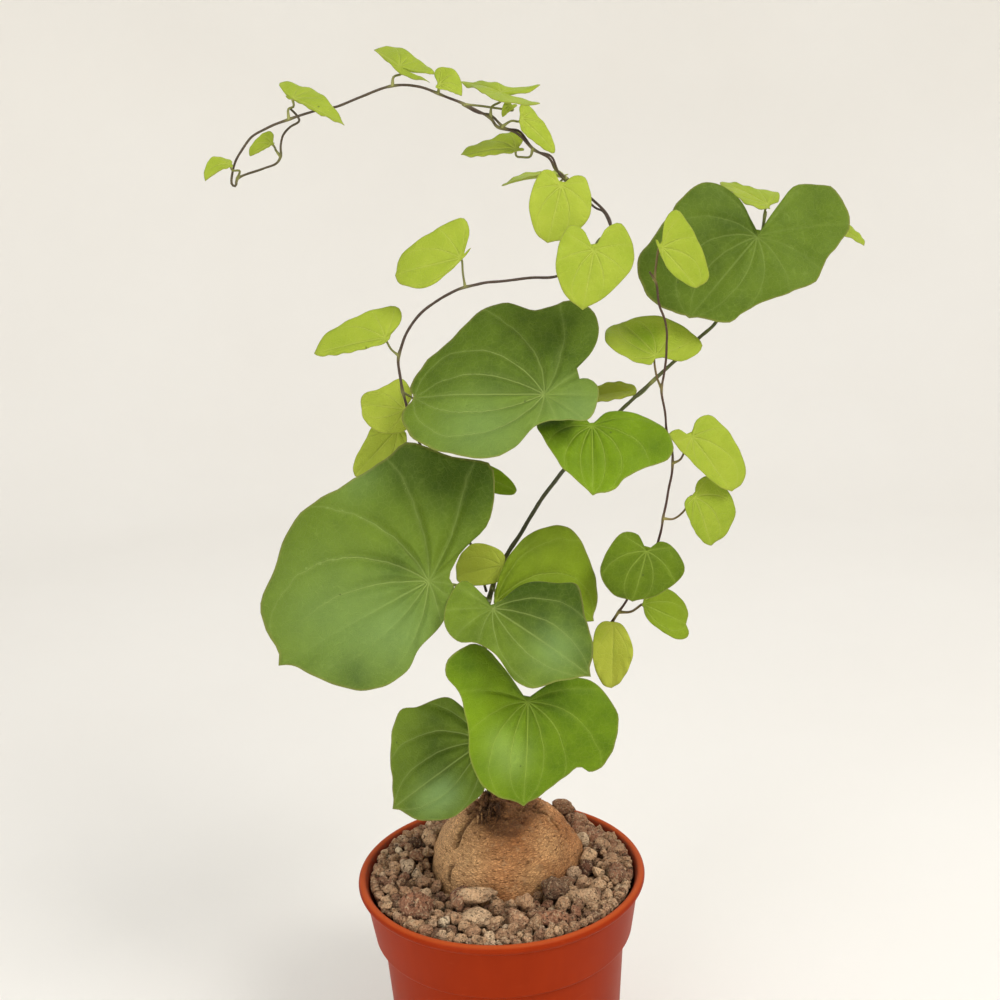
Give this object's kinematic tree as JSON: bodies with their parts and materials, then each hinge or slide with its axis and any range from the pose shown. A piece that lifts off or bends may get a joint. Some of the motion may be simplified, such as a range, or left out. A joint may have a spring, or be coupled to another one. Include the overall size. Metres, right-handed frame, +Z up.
{
  "type": "potted tortoise plant",
  "caption": "Young tortoise plant: a bark-covered tuber half sunk in grit in a round nursery pot, with twining stems and heart-shaped leaves.",
  "frame": {"origin": "centre of the pot's underside", "axes": "+Z up, +X to the viewer's right, +Y away from the viewer"},
  "size_m": [0.2147, 0.105, 0.3825],
  "materials": {
    "pot_plastic": "satin terracotta-coloured moulded plastic",
    "pumice": "rough, porous pumice grains in beige, tan and brown",
    "tuber_bark": "dry tan bark with fine fissures",
    "olive_stem": "smooth olive-brown stem",
    "red_vine": "smooth reddish-brown stem",
    "grey_vine": "smooth grey-brown stem",
    "old_leaf": "waxy dark green blade with paler veins",
    "mid_leaf": "soft green blade with paler veins",
    "young_leaf": "thin yellow-green blade with faint veins"
  },
  "bodies": {
    "root": {"pot": "pot_plastic", "grit": "pumice", "caudex": "tuber_bark", "main_stem": "olive_stem", "right_vine": "red_vine", "arch_vine": "grey_vine", "main_leaf_01": "old_leaf", "main_leaf_02": "mid_leaf", "main_leaf_03": "old_leaf", "main_leaf_04": "young_leaf", "main_leaf_05": "mid_leaf", "main_leaf_06": "old_leaf", "main_leaf_07": "old_leaf", "main_leaf_08": "mid_leaf", "main_leaf_09": "mid_leaf", "main_leaf_10": "old_leaf", "main_leaf_11": "young_leaf", "main_leaf_12": "young_leaf", "right_leaf_01": "young_leaf", "right_leaf_02": "mid_leaf", "right_leaf_03": "mid_leaf", "right_leaf_04": "young_leaf", "right_leaf_05": "young_leaf", "right_leaf_06": "young_leaf", "right_leaf_07": "young_leaf", "arch_leaf_01": "mid_leaf", "arch_leaf_02": "young_leaf", "arch_leaf_03": "young_leaf", "arch_leaf_04": "young_leaf", "arch_leaf_05": "young_leaf", "arch_leaf_06": "young_leaf", "arch_leaf_07": "young_leaf", "arch_leaf_08": "young_leaf", "arch_leaf_09": "young_leaf", "arch_leaf_10": "young_leaf", "arch_leaf_11": "young_leaf", "arch_leaf_12": "young_leaf", "arch_leaf_13": "young_leaf", "arch_leaf_14": "young_leaf", "arch_leaf_15": "young_leaf", "arch_leaf_16": "young_leaf", "arch_leaf_17": "young_leaf"}
  },
  "joints": []
}
